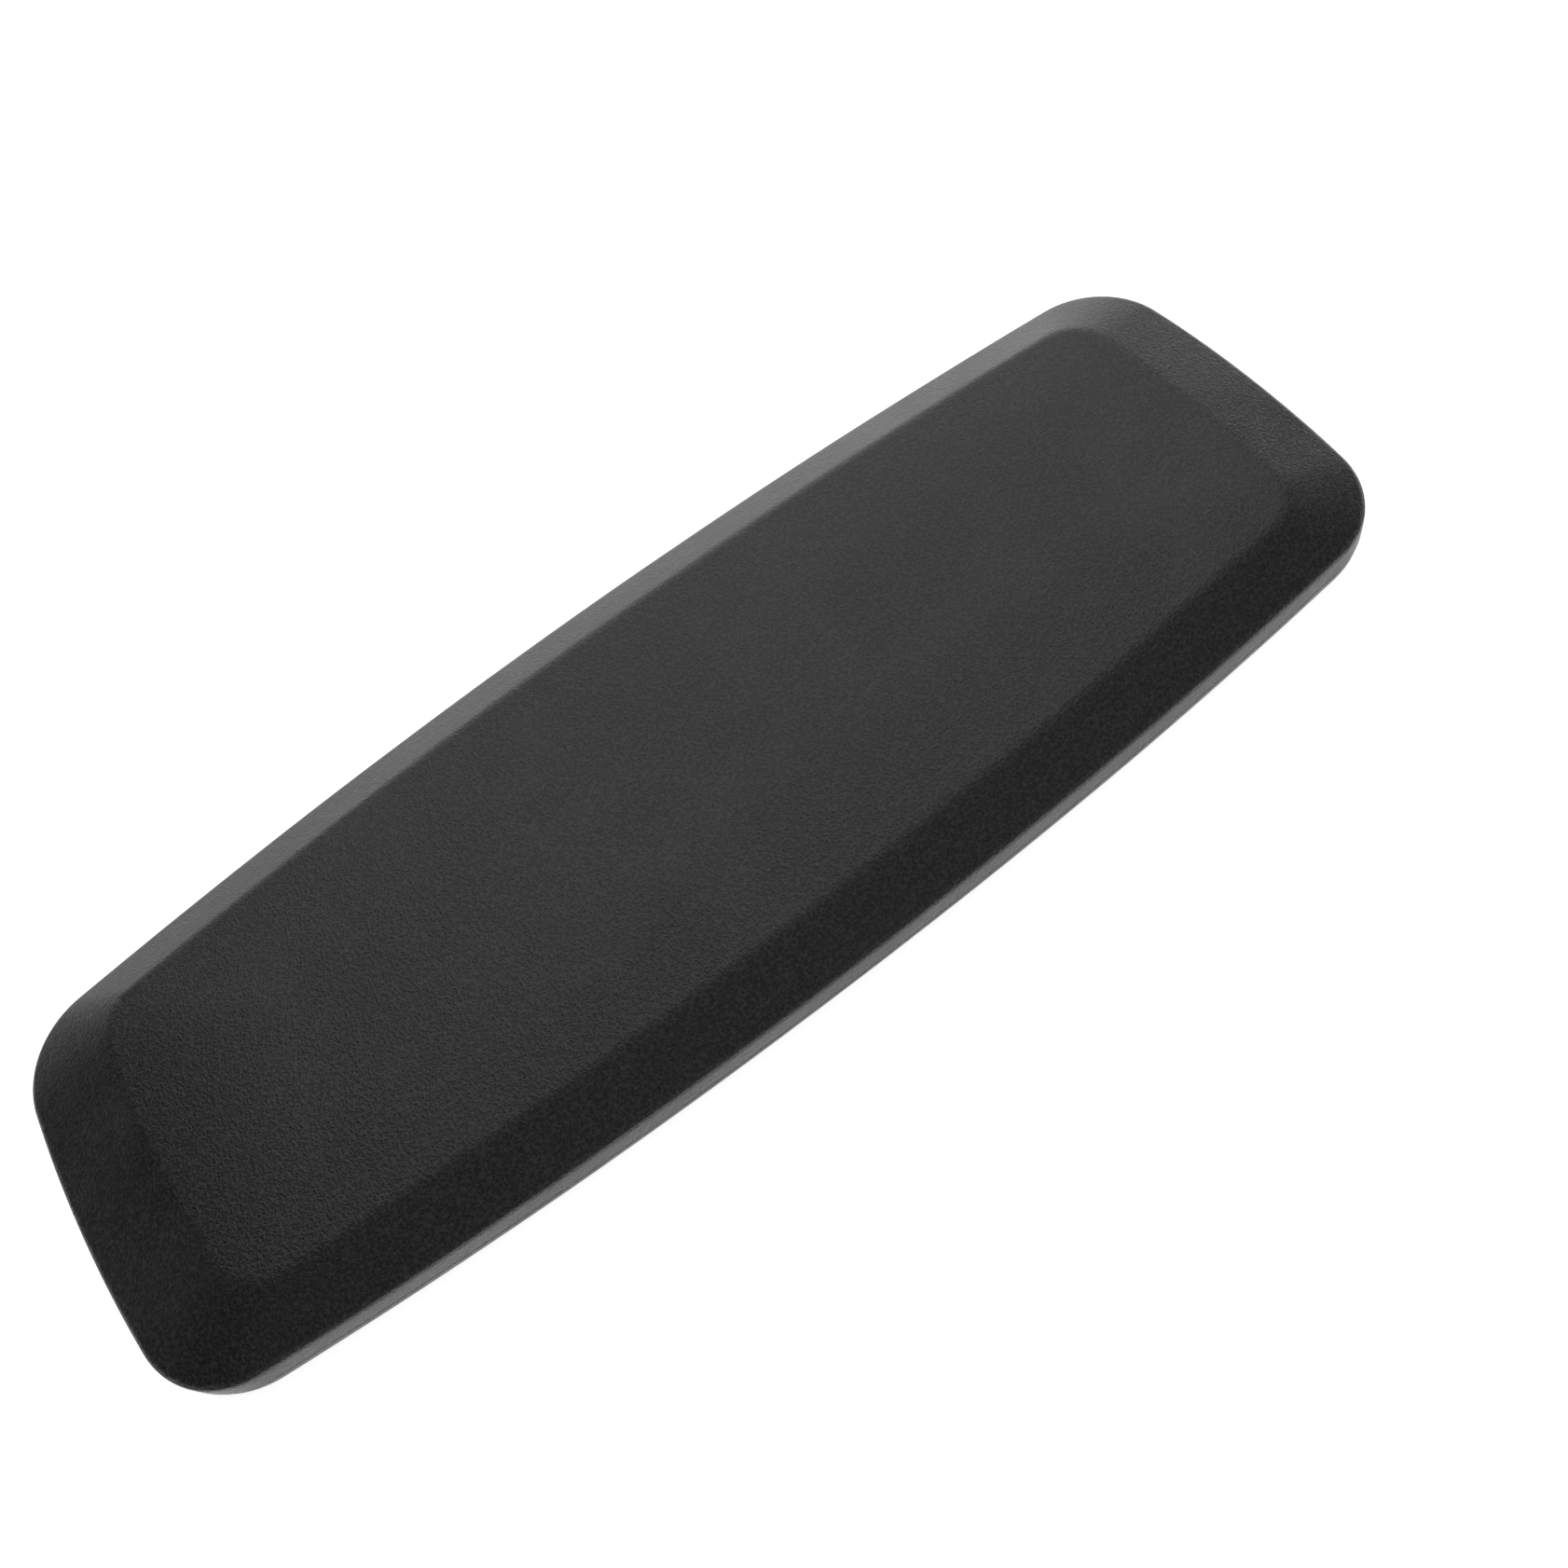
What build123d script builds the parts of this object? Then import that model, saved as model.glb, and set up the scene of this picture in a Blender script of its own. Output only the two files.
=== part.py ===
"""Armrest pad for an office chair: a moulded foam pad on a reinforcement plate.

Millimetres, +Z up. The origin is the centre of the underside. +X runs along the pad
to the end with the shorter bevel. A recess in the underside takes the chair arm's
bracket, and two M6 inserts in its floor take the bracket's screws.
"""

import os
from math import atan2, degrees, radians, sqrt, tan

from build123d import *

os.makedirs("parts", exist_ok=True)

# ---- Pad outline, seen from above ----
pad_length = 250.0
pad_width = 89.0  # at the middle of the length
side_bow = 7.0  # how far each side stands out at its middle
end_bow = 2.8  # how far each end stands out at its middle
corner_radius = 16.5

# ---- Pad heights, from the underside up ----
underside_round = 2.4  # radius where the underside turns up into the wall
parting_height = 3.0  # the mould's two halves meet here
wall_height = 5.0  # upright wall above the parting line
bevel_rise = 5.0
shoulder_rise = 1.2
crown_rise = 0.8

# ---- Bevel round the top, measured inward ----
side_bevel = 10.0
front_bevel = 14.5  # the +X end
rear_bevel = 18.0  # the -X end
top_corner_radius = 9.0
shoulder_width = 9.0  # gentle slope inside the bevel
crown_width = 12.0  # flatter slope inside the shoulder

# ---- Foam ----
skin_thickness = 1.2

# ---- Recess in the underside ----
recess_length = 132.0
recess_width = 48.0
recess_depth = 5.5  # down to the plate's face
mouth_round = 4.5

# ---- Reinforcement plate ----
plate_margin = 12.0  # from the pad's wall to the plate's edge
plate_thickness = 2.5
tray_depth = 1.2  # the recess floor lies this far behind the plate's face
tray_land = 0.8  # width of the plate's face left round the tray
rim_height = 1.0
rim_width = 2.0
end_lock_diameter = 10.0
end_lock_spacing_x = 14.0
end_lock_spacing_y = 26.0
side_lock_diameter = 4.0
side_lock_pitch = 20.0
side_lock_count = 5

# ---- Threaded inserts ----
insert_spacing = 100.0
insert_diameter = 8.0
insert_length = 5.0
thread_bore = 5.0  # M6 coarse, tapping size
countersink_diameter = 6.8
countersink_depth = 0.9
band_height = 1.9  # each of the two knurled bands
knurl_count = 24
knurl_depth = 0.3
knurl_width = 0.45
waist_depth = 0.5

# ---- Bosses that hold the inserts ----
boss_wall = 3.0
boss_cap = 1.0
gusset_reach = 7.0
gusset_width = 2.0
gusset_gap = 2.0  # from the gusset's top down to the boss's top

# ---- Places that follow from the sizes above ----
wall_top = parting_height + wall_height
crease_height = wall_top + bevel_rise
shoulder_height = crease_height + shoulder_rise
pad_height = shoulder_height + crown_rise
end_x = pad_length / 2 - end_bow
side_radius = (end_x**2 + side_bow**2) / (2 * side_bow)
side_centre = pad_width / 2 - side_radius
bevel_angle = degrees(atan2(bevel_rise, side_bevel))
tray_length = recess_length - 2 * tray_land
tray_width = recess_width - 2 * tray_land
floor_height = recess_depth + tray_depth
plate_top = recess_depth + plate_thickness
pan_top = floor_height + plate_thickness
pan_length = tray_length + 2 * plate_thickness
pan_width = tray_width + 2 * plate_thickness
boss_diameter = insert_diameter + 2 * boss_wall
boss_top = floor_height + insert_length + boss_cap
insert_places = [(-insert_spacing / 2, 0), (insert_spacing / 2, 0)]
rim_inset = plate_margin + rim_width
# the foam lock holes lie midway between the tray's wall and the rim
lock_x = (pan_length / 2 + pad_length / 2 - rim_inset) / 2
lock_y = (pan_width / 2 + pad_width / 2 - rim_inset) / 2


def side_y(x, inset):
    """Half width of the pad at x, on the side arc moved inward by inset."""
    return side_centre + sqrt((side_radius - inset) ** 2 - x**2)


def outline(side_inset, front_inset, rear_inset, radius):
    """Face inside two side arcs and two end arcs, each moved inward, with round corners."""
    front_x = end_x - front_inset
    rear_x = -end_x + rear_inset
    front_y = side_y(front_x, side_inset)
    rear_y = side_y(rear_x, side_inset)
    middle_y = side_y(0, side_inset)
    with BuildSketch() as shape:
        with BuildLine():
            ThreePointArc((rear_x, rear_y), (0, middle_y), (front_x, front_y))
            ThreePointArc((front_x, front_y), (front_x + end_bow, 0), (front_x, -front_y))
            ThreePointArc((front_x, -front_y), (0, -middle_y), (rear_x, -rear_y))
            ThreePointArc((rear_x, -rear_y), (rear_x - end_bow, 0), (rear_x, rear_y))
        make_face()
        fillet(shape.vertices(), radius)
    return shape.sketch


def inner_outline(inset):
    """The pad's outline moved inward by the same distance all round."""
    return outline(inset, inset, inset, corner_radius - inset)


def top_outline(inset, width):
    """Outline of the top face, then moved inward by width, inside a skin of inset."""
    side = inset + side_bevel + width
    return outline(side, inset + front_bevel + width, inset + rear_bevel + width, top_corner_radius)


def pad_form(inset):
    """The pad's outer form with its recess, every face moved inward by inset."""
    wall_edge = wall_top - inset * tan(radians((90 - bevel_angle) / 2))
    steps = [
        (wall_edge, inner_outline(inset)),
        (crease_height - inset, top_outline(inset, 0)),
        (shoulder_height - inset, top_outline(inset, shoulder_width)),
        (pad_height - inset, top_outline(inset, shoulder_width + crown_width)),
    ]
    with BuildPart() as form:
        with BuildSketch(Plane.XY.offset(inset)):
            add(inner_outline(inset))
        extrude(amount=wall_edge - inset)
        underside = form.faces().sort_by(Axis.Z)[0]
        fillet(underside.edges(), underside_round - inset)
        for (low, low_face), (high, high_face) in zip(steps, steps[1:]):
            with BuildSketch(Plane.XY.offset(low)):
                add(low_face)
            with BuildSketch(Plane.XY.offset(high)):
                add(high_face)
            loft(ruled=True)
        with BuildSketch(Plane.XY.offset(inset)):
            SlotOverall(recess_length + 2 * inset, recess_width + 2 * inset)
        extrude(amount=recess_depth - inset, mode=Mode.SUBTRACT)
        mouth = form.faces().filter_by(Plane.XY).sort_by(Axis.Z)[0].inner_wires()
        fillet(mouth.edges(), mouth_round - inset)
    return form.part


# ---- Reinforcement plate ----
with BuildPart() as base_plate:
    with BuildSketch(Plane.XY.offset(recess_depth)):
        add(inner_outline(plate_margin))
    extrude(amount=plate_thickness)
    with BuildSketch(Plane.XY.offset(plate_top)):
        add(inner_outline(plate_margin))
        add(inner_outline(rim_inset), mode=Mode.SUBTRACT)
    extrude(amount=rim_height)
    with BuildSketch(Plane.XY.offset(plate_top)):
        SlotOverall(pan_length, pan_width)
    extrude(amount=pan_top - plate_top)
    # the tray, whose floor is the floor of the recess
    with BuildSketch(Plane.XY.offset(recess_depth)):
        SlotOverall(tray_length, tray_width)
    extrude(amount=tray_depth, mode=Mode.SUBTRACT)
    # insert bosses, each with four gussets
    with BuildSketch(Plane.XY.offset(plate_top)):
        with Locations(*insert_places):
            Circle(boss_diameter / 2)
    extrude(amount=boss_top - plate_top)
    with BuildSketch(Plane.XY.offset(plate_top)):
        with Locations(*insert_places):
            Rectangle(boss_diameter + 2 * gusset_reach, gusset_width)
            Rectangle(gusset_width, boss_diameter + 2 * gusset_reach)
    extrude(amount=boss_top - gusset_gap - plate_top)
    with BuildSketch(Plane.XY.offset(floor_height)):
        with Locations(*insert_places):
            Circle(insert_diameter / 2)
    extrude(amount=insert_length, mode=Mode.SUBTRACT)
    # holes that the foam flows through, which lock it to the plate
    with BuildSketch(Plane.XY.offset(recess_depth)):
        with Locations((-lock_x, 0), (lock_x, 0)):
            with GridLocations(end_lock_spacing_x, end_lock_spacing_y, 2, 2):
                Circle(end_lock_diameter / 2)
        with Locations((0, -lock_y), (0, lock_y)):
            with GridLocations(side_lock_pitch, 1, side_lock_count, 1):
                Circle(side_lock_diameter / 2)
    extrude(amount=plate_thickness, mode=Mode.SUBTRACT)
base_plate.part.label = "base_plate"
export_step(base_plate.part, "parts/base_plate.step")


def threaded_insert(place):
    """Knurled bush with an M6 hole, its open end flush with the recess floor."""
    with BuildPart() as bush:
        with BuildSketch(Plane.XY.offset(floor_height)):
            with Locations(place):
                Circle(insert_diameter / 2)
        extrude(amount=insert_length)
        # waist between the two knurled bands
        with BuildSketch(Plane.XY.offset(floor_height + band_height)):
            with Locations(place):
                Circle(insert_diameter / 2)
                Circle(insert_diameter / 2 - waist_depth, mode=Mode.SUBTRACT)
        extrude(amount=insert_length - 2 * band_height, mode=Mode.SUBTRACT)
        with BuildSketch(Plane.XY.offset(floor_height + insert_length - band_height)):
            with Locations(place):
                with PolarLocations(insert_diameter / 2, knurl_count):
                    Rectangle(2 * knurl_depth, knurl_width)
        extrude(amount=band_height, mode=Mode.SUBTRACT)
        with BuildSketch(Plane.XY.offset(floor_height)):
            with Locations(place):
                Circle(thread_bore / 2)
        extrude(amount=insert_length, mode=Mode.SUBTRACT)
        with BuildSketch(Plane.XY.offset(floor_height)):
            with Locations(place):
                Circle(countersink_diameter / 2)
        with BuildSketch(Plane.XY.offset(floor_height + countersink_depth)):
            with Locations(place):
                Circle(thread_bore / 2)
        loft(mode=Mode.SUBTRACT)
    return bush.part


for name, place in zip(("rear_insert", "front_insert"), insert_places):
    insert = threaded_insert(place)
    insert.label = name
    export_step(insert, f"parts/{name}.step")

# ---- Space that the plate and its inserts take up in the foam ----
with BuildPart() as plate_space:
    add(base_plate.part)
    with BuildSketch(Plane.XY.offset(floor_height)):
        with Locations(*insert_places):
            Circle(insert_diameter / 2)
    extrude(amount=insert_length)
    with BuildSketch(Plane.XY.offset(recess_depth)):
        SlotOverall(tray_length, tray_width)
    extrude(amount=tray_depth)

# ---- Foam core ----
with BuildPart() as foam_core:
    add(pad_form(skin_thickness))
    add(plate_space.part, mode=Mode.SUBTRACT)
foam_core.part.label = "foam_core"
export_step(foam_core.part, "parts/foam_core.step")

# ---- Skin round the foam, down the recess wall to the plate ----
with BuildPart() as pad_skin:
    add(pad_form(0))
    add(pad_form(skin_thickness), mode=Mode.SUBTRACT)
pad_skin.part.label = "pad_skin"
export_step(pad_skin.part, "parts/pad_skin.step")
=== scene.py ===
"""Looks of a chair armrest pad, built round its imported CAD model. Metres, +Z up.

The pad's skin is one mesh, made of rings that follow the pad's outline: from the middle
of the top, out over the bevel, down the wall and under, to the foot of the recess.
"""

import math

import bpy
import numpy as np
from mathutils import Matrix, Vector, noise


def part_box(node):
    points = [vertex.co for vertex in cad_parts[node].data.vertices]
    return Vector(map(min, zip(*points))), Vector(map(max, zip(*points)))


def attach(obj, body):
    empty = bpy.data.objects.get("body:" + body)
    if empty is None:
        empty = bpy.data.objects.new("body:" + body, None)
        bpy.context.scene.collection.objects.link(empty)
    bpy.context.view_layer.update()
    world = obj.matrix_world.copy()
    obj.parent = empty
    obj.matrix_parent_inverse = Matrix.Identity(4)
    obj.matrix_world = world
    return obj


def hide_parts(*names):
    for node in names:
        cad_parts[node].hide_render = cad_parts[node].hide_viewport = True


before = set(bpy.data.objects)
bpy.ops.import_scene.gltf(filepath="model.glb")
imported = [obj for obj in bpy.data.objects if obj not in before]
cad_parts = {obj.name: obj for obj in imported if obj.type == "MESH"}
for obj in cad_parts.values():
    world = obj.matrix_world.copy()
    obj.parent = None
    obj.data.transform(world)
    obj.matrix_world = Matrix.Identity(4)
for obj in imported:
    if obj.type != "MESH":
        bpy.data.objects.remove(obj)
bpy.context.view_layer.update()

MM = 0.001
BODY = "root"

# ---- Camera: where it stands, the way it looks back from, its roll and its lens ----
CAMERA_PLACE = (-0.0215, -0.1357, 0.2409)
CAMERA_AZIMUTH = -104.57
CAMERA_ELEVATION = 60.96
CAMERA_ROLL = 23.65
CAMERA_LENS = 36.0  # millimetres, as the sensor's width is
SENSOR_WIDTH = 36.0
CLIP_START = 0.01

# ---- Pad outline, seen from above ----
SKIN_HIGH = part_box("pad_skin")[1]
HALF_LENGTH = SKIN_HIGH.x
HALF_WIDTH = SKIN_HIGH.y
SIDE_BOW = 7.0 * MM
END_BOW = 2.8 * MM
CORNER_RADIUS = 16.5 * MM

# ---- Pad section, from the underside up and from the wall inward ----
UNDERSIDE_ROUND = 2.4 * MM
UNDERSIDE_INSET = 0.25 * MM  # the lower wall leans in by this much at its foot
PARTING_HEIGHT = 3.0 * MM
WALL_TOP = 8.0 * MM
CREASE_HEIGHT = 13.5 * MM
WAVE_ROOM = 0.05 * MM  # left under the CAD box's top for the wave
CROWN_HEIGHT = SKIN_HIGH.z - WAVE_ROOM
SIDE_BEVEL = 10.0 * MM
FRONT_BEVEL = 14.5 * MM
REAR_BEVEL = 18.0 * MM
CREASE_CORNER = 9.0 * MM
CREASE_SOFT = 1.35 * MM  # how far each way the crease's rounding reaches
WALL_SOFT = 1.3 * MM
CROWN_REACH = 28.0 * MM  # from the crease to where the top is level
CROWN_POWER = 1.6
SPINE_HALF_LENGTH = 78.0 * MM
SPINE_HALF_WIDTH = 2.5 * MM
SKIN_THICKNESS = 0.9 * MM
WAVE_DEPTH = 0.07 * MM  # the moulded faces are never quite true
WAVE_SIZE = 30.0 * MM
WAVE_SEED = 7  # without a seed the wave would differ on each run
FLASH_DEPTH = 0.10 * MM  # ragged edge along the parting line
FLASH_SIZE = 5.0 * MM
FLASH_REACH = 0.35 * MM  # how far above and below the line it fades out
FLASH_FINE_SIZE = 0.4 * FLASH_SIZE
FLASH_FINE_SHARE = 0.6
EDGE_ROUND = 2.0 * MM  # a round this tight or tighter counts as a whole edge

# ---- Groove along the parting line; its heights are from the line ----
GROOVE_TOP = 0.30 * MM
GROOVE_MIDDLE = 0.05 * MM
GROOVE_FOOT = -0.25 * MM
GROOVE_DEPTH = 0.28 * MM
GROOVE_SOFT = 0.10 * MM
LOWER_EDGE_INSET = 0.10 * MM
LOWER_EDGE_SOFT = 0.08 * MM
LOWER_WALL_INSET = 0.20 * MM

# ---- Recess ----
RECESS_HALF_LENGTH = 66.0 * MM
RECESS_HALF_WIDTH = 24.0 * MM
RECESS_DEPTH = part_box("base_plate")[0].z
MOUTH_ROUND = 4.4 * MM
RECESS_MARGIN_ASIDE = 0.1 * MM  # rows within these margins belong to the recess
RECESS_MARGIN_ABOVE = 1.0 * MM

# ---- Thin ledge of skin on the plate, at the foot of the recess wall ----
LEDGE_START = 0.45 * MM  # from the plate's face down to where the wall turns in
LEDGE_START_SOFT = 0.20 * MM
LEDGE_THICKNESS = 0.35 * MM
LEDGE_WIDTH = 0.40 * MM
LEDGE_SOFT = 0.12 * MM
LEDGE_FOOT_WIDTH = 0.45 * MM  # where it meets the plate

# ---- How finely the rings are divided ----
END_STEPS = 14
CORNER_STEPS = 18
SIDE_STEPS = 96
ROW_STEP = 1.7 * MM
ROUND_STEPS = 7
ROUND_LIMIT = 0.9  # the most of a row's length that one rounding may take up


# ---------------------------------------------------------------- camera, floor, lights


def make_camera():
    """The scene's camera, rolled so that the pad crosses the view aslant."""
    azimuth = math.radians(CAMERA_AZIMUTH)
    elevation = math.radians(CAMERA_ELEVATION)
    roll = math.radians(CAMERA_ROLL)
    flat = math.cos(elevation)
    back = Vector((flat * math.cos(azimuth), flat * math.sin(azimuth), math.sin(elevation)))
    level_right = (-back).cross(Vector((0, 0, 1))).normalized()
    level_up = back.cross(level_right)
    right = level_right * math.cos(roll) - level_up * math.sin(roll)
    up = level_right * math.sin(roll) + level_up * math.cos(roll)
    data = bpy.data.cameras.new("camera")
    data.sensor_width = SENSOR_WIDTH
    data.lens = CAMERA_LENS
    data.clip_start = CLIP_START
    camera = bpy.data.objects.new("camera", data)
    bpy.context.scene.collection.objects.link(camera)
    turn = Matrix((right, up, back)).transposed().to_4x4()
    camera.matrix_world = Matrix.Translation(CAMERA_PLACE) @ turn
    bpy.context.scene.camera = camera


# places of the colour sockets on a Mix node
MIX_COLOUR_INPUTS = (6, 7)
MIX_COLOUR_OUTPUT = 2


class Nodes:
    """Short ways to add and link the nodes of one tree."""

    def __init__(self, tree):
        self.tree = tree

    def add(self, kind, inputs=None, **settings):
        """New node of one kind; an input is a value or another node's output."""
        node = self.tree.nodes.new(kind)
        for name, value in settings.items():
            setattr(node, name, value)
        for name, value in (inputs or {}).items():
            socket = node.inputs[name]
            if isinstance(value, bpy.types.NodeSocket):
                self.tree.links.new(value, socket)
            else:
                socket.default_value = value
        return node

    def math(self, operation, first, second=0.0, third=0.0):
        """Result of one operation; the simpler operations pass over the later inputs."""
        inputs = {0: first, 1: second, 2: third}
        return self.add("ShaderNodeMath", inputs, operation=operation).outputs[0]

    def facing(self, way, direction):
        """Cosine of the angle between a direction from the tree and a fixed one."""
        node = self.add("ShaderNodeVectorMath", {0: way, 1: direction}, operation="DOT_PRODUCT")
        return node.outputs["Value"]

    def span(self, value, low, high, to_low=0.0, to_high=1.0):
        """Value carried smoothly from low..high to to_low..to_high, and held outside."""
        inputs = {
            "Value": value,
            "From Min": low,
            "From Max": high,
            "To Min": to_low,
            "To Max": to_high,
        }
        node = self.add("ShaderNodeMapRange", inputs, interpolation_type="SMOOTHSTEP")
        return node.outputs["Result"]

    def blend(self, factor, first, second):
        """Colour that goes from first to second as factor goes from 0 to 1."""
        node = self.add("ShaderNodeMix", {"Factor": factor}, data_type="RGBA")
        for socket, value in zip(MIX_COLOUR_INPUTS, (first, second)):
            if isinstance(value, bpy.types.NodeSocket):
                self.tree.links.new(value, node.inputs[socket])
            else:
                node.inputs[socket].default_value = (*value, 1)
        return node.outputs[MIX_COLOUR_OUTPUT]

    def noise(self, coordinates, size, detail=2.0, roughness=0.5, distortion=0.0):
        """Noise whose blobs are about size across."""
        inputs = {
            "Vector": coordinates,
            "Scale": 1 / size,
            "Detail": detail,
            "Roughness": roughness,
            "Distortion": distortion,
        }
        return self.add("ShaderNodeTexNoise", inputs).outputs["Fac"]

    def cells(self, coordinates, size, feature="F1"):
        """Distance from the middles of cells that are about size across."""
        inputs = {"Vector": coordinates, "Scale": 1 / size}
        return self.add("ShaderNodeTexVoronoi", inputs, feature=feature).outputs["Distance"]

    def bump(self, height, depth):
        """Surface direction as if a height of 1 stood out by depth."""
        inputs = {"Height": height, "Distance": depth, "Strength": 1.0}
        return self.add("ShaderNodeBump", inputs).outputs["Normal"]


# ---- Light round the pad ----
BOX_AZIMUTH = 63.0
BOX_ELEVATION = 52.0
BOX_START = 0.64  # cosine of the angle from the box's middle where its light starts
BOX_FULL = 0.90  # and where it is full
BOX_STRENGTH = 1.00
GLOW_AZIMUTH = 72.0  # bright stretch low behind the pad
GLOW_START = 0.78
GLOW_FULL = 0.97
GLOW_TOP = 0.36  # sine of the elevation where it ends
GLOW_STRENGTH = 0.95
FLOOR_STRENGTH = 1.12
SHEEN_AZIMUTH = 50.0  # the table is brighter towards the lamps
SHEEN_START = 0.35
SHEEN_FULL = 1.0
SHEEN_STRENGTH = 0.60
FILL_AZIMUTH = -80.0  # faint light from the camera's side
FILL_ELEVATION = 50.0
FILL_START = 0.55
FILL_FULL = 0.95
FILL_STRENGTH = 0.25
DIM_STRENGTH = 0.07
HORIZON_SOFT = 0.02


def towards(azimuth, elevation):
    """Unit vector towards a place in the sky, in degrees."""
    turn, lift = math.radians(azimuth), math.radians(elevation)
    return (math.cos(lift) * math.cos(turn), math.cos(lift) * math.sin(turn), math.sin(lift))


def make_world():
    """Studio: a wide soft light behind the pad, a white table below, dim elsewhere."""
    world = bpy.data.worlds.new("studio")
    world.use_nodes = True
    nodes = Nodes(world.node_tree)
    way = nodes.add("ShaderNodeTexCoord").outputs["Generated"]
    height = nodes.add("ShaderNodeSeparateXYZ", {0: way}).outputs["Z"]
    box = nodes.facing(way, towards(BOX_AZIMUTH, BOX_ELEVATION))
    box = nodes.span(box, BOX_START, BOX_FULL)
    glow = nodes.span(nodes.facing(way, towards(GLOW_AZIMUTH, 0)), GLOW_START, GLOW_FULL)
    glow = nodes.math("MULTIPLY", glow, nodes.span(height, GLOW_TOP, 0.0))
    sky = nodes.math("MULTIPLY_ADD", box, BOX_STRENGTH, third=DIM_STRENGTH)
    sky = nodes.math("MULTIPLY_ADD", glow, GLOW_STRENGTH, third=sky)
    fill = nodes.facing(way, towards(FILL_AZIMUTH, FILL_ELEVATION))
    fill = nodes.span(fill, FILL_START, FILL_FULL)
    sky = nodes.math("MULTIPLY_ADD", fill, FILL_STRENGTH, third=sky)
    above = nodes.span(height, -HORIZON_SOFT, HORIZON_SOFT)
    sheen = nodes.span(nodes.facing(way, towards(SHEEN_AZIMUTH, 0)), SHEEN_START, SHEEN_FULL)
    table = nodes.math("MULTIPLY_ADD", sheen, SHEEN_STRENGTH, third=FLOOR_STRENGTH)
    table = nodes.math("MULTIPLY", nodes.math("SUBTRACT", 1.0, above), table)
    light = nodes.math("MULTIPLY_ADD", sky, above, third=table)
    # what the camera sees past the floor is plain and pale
    seen = nodes.add("ShaderNodeLightPath").outputs["Is Camera Ray"]
    light = nodes.math("MULTIPLY_ADD", light, nodes.math("SUBTRACT", 1.0, seen), third=seen)
    background = world.node_tree.nodes["Background"]
    world.node_tree.links.new(light, background.inputs["Strength"])
    background.inputs["Color"].default_value = (1, 1, 1, 1)
    bpy.context.scene.world = world


FLOOR_HALF = 3.0
FLOOR_DROP = 0.2 * MM  # room for the ring pips on the underside
FLOOR_TONE = 0.86
FLOOR_ROUGHNESS = 0.9
FLOOR_GLOW = 0.85


def make_floor():
    """Pale floor that the pad lies on. It is clear when seen from below."""
    mesh = bpy.data.meshes.new("floor")
    corners = [(-FLOOR_HALF, -FLOOR_HALF), (FLOOR_HALF, -FLOOR_HALF)]
    corners += [(FLOOR_HALF, FLOOR_HALF), (-FLOOR_HALF, FLOOR_HALF)]
    mesh.from_pydata([(x, y, -FLOOR_DROP) for x, y in corners], [], [(0, 1, 2, 3)])
    floor = bpy.data.objects.new("floor", mesh)
    bpy.context.scene.collection.objects.link(floor)
    material = bpy.data.materials.new("floor_white")
    material.use_nodes = True
    nodes = Nodes(material.node_tree)
    shader = material.node_tree.nodes["Principled BSDF"]
    shader.inputs["Base Color"].default_value = (FLOOR_TONE, FLOOR_TONE, FLOOR_TONE, 1)
    shader.inputs["Roughness"].default_value = FLOOR_ROUGHNESS
    shader.inputs["Emission Color"].default_value = (1, 1, 1, 1)
    shader.inputs["Emission Strength"].default_value = FLOOR_GLOW
    clear = nodes.add("ShaderNodeBsdfTransparent").outputs["BSDF"]
    below = nodes.add("ShaderNodeNewGeometry").outputs["Backfacing"]
    mix = nodes.add("ShaderNodeMixShader", {"Fac": below, 1: shader.outputs["BSDF"], 2: clear})
    material.node_tree.links.new(
        mix.outputs["Shader"], material.node_tree.nodes["Material Output"].inputs["Surface"]
    )
    mesh.materials.append(material)
    floor.visible_diffuse = False
    floor.visible_glossy = False
    floor.visible_shadow = False


# ---------------------------------------------------------------- rings


def crossing(centre_a, radius_a, centre_b, radius_b):
    """The upper point where two circles cross."""
    apart = centre_b - centre_a
    distance = apart.length
    along = (distance**2 + radius_a**2 - radius_b**2) / (2 * distance)
    aside = math.sqrt(radius_a**2 - along**2)
    unit = apart / distance
    foot = centre_a + unit * along
    across = Vector((-unit.y, unit.x)) * aside
    return max(foot + across, foot - across, key=lambda point: point.y)


def arc(centre, radius, start, end, steps):
    """Points on an arc, without its last one."""
    turn = np.linspace(start, end, steps, endpoint=False)
    return np.column_stack((centre[0] + radius * np.cos(turn), centre[1] + radius * np.sin(turn)))


def bow_radius(half_chord, bow):
    """Radius of the arc that stands out by bow at the middle of its chord."""
    return (half_chord**2 + bow**2) / (2 * bow)


SIDE_RADIUS = bow_radius(HALF_LENGTH - END_BOW, SIDE_BOW)
END_RADIUS = bow_radius(HALF_WIDTH - SIDE_BOW, END_BOW)


def bearing(start, end):
    """Angle of the way from start to end."""
    return math.atan2(end.y - start.y, end.x - start.x)


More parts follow.
